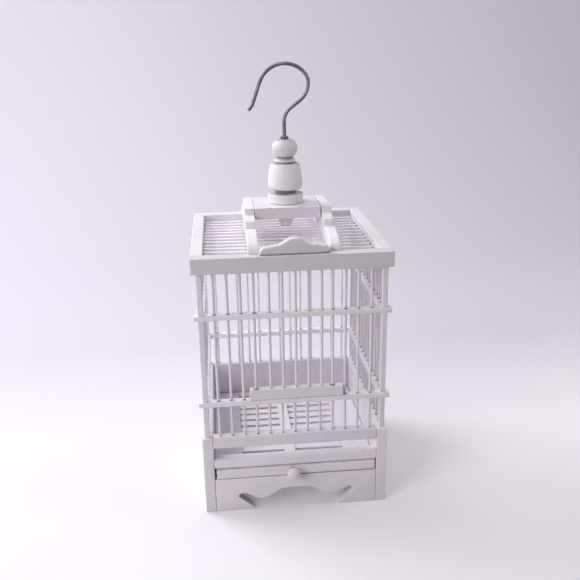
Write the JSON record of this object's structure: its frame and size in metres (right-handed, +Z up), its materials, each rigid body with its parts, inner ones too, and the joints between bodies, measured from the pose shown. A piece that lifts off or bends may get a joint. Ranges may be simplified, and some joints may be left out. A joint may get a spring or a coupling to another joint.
{
  "type": "bird cage",
  "caption": "Square hook-hung bird cage of white-painted wood with thin round bars, a lift door, a pull-out slatted floor and a bridge with turned beads",
  "frame": {"origin": "middle of the whole cage's outline seen from above, on the surface that the base stands on", "axes": "+Z up through the hook, +X to the right seen from the front, the front with the knob looks to -Y"},
  "size_m": [0.2, 0.2108, 0.4608],
  "materials": {
    "white_paint": "satin",
    "bare_wood": "matte",
    "hook_steel": "satin"
  },
  "bodies": {
    "cage": {"back_bars_and_lower_strip": "white_paint", "back_upper_strip": "white_paint", "base_apron": "white_paint", "base_back_panel": "white_paint", "base_left_side": "white_paint", "base_middle_rail": "white_paint", "base_right_side": "white_paint", "base_top_rail": "white_paint", "bridge_cross_board": "white_paint", "bridge_left_side": "white_paint", "bridge_right_side": "white_paint", "corner_post_back_left": "white_paint", "corner_post_back_right": "white_paint", "corner_post_front_left": "white_paint", "corner_post_front_right": "white_paint", "drawer_runner_left": "white_paint", "drawer_runner_right": "white_paint", "finial_ball": "white_paint", "finial_bell": "white_paint", "finial_collar": "white_paint", "finial_neck": "bare_wood", "finial_ring": "white_paint", "front_bar_1": "white_paint", "front_bar_2": "white_paint", "front_bar_3": "white_paint", "front_bar_4": "white_paint", "front_bar_5": "white_paint", "front_bar_6": "white_paint", "front_bar_7": "white_paint", "front_bar_8": "white_paint", "front_lower_strip": "white_paint", "front_upper_strip": "white_paint", "left_bars_and_lower_strip": "white_paint", "left_upper_strip": "white_paint", "right_bars_and_lower_strip": "white_paint", "right_upper_strip": "white_paint", "roof_back_rail": "white_paint", "roof_front_rail": "white_paint", "roof_left_rail": "white_paint", "roof_right_rail": "white_paint"},
    "door": {"door_handle_board": "white_paint", "door_rail": "white_paint", "door_bar_1": "white_paint", "door_bar_2": "white_paint", "door_bar_3": "white_paint", "door_bar_4": "white_paint", "door_bar_5": "white_paint"},
    "drawer": {"drawer_front": "white_paint", "drawer_knob": "white_paint", "drawer_left_stile": "white_paint", "drawer_right_stile": "white_paint", "drawer_back_rail": "white_paint", "drawer_slats": "white_paint"},
    "hook": {"hook": "hook_steel", "hook_ferrule": "hook_steel", "hook_stop_bead": "white_paint"}
  },
  "joints": [
    {"name": "door_lift", "type": "slide", "parent": "cage", "child": "door", "axis": [0, 0, 1], "range_m": [0, 0.078]},
    {"name": "drawer_slide", "type": "slide", "parent": "cage", "child": "drawer", "axis": [0, -1, 0], "range_m": [0, 0.14]},
    {"name": "hook_turn", "type": "hinge", "parent": "cage", "child": "hook", "pos_m": [0.002, 0.0054, 0.405], "axis": [0, 0, 1], "continuous": true}
  ]
}
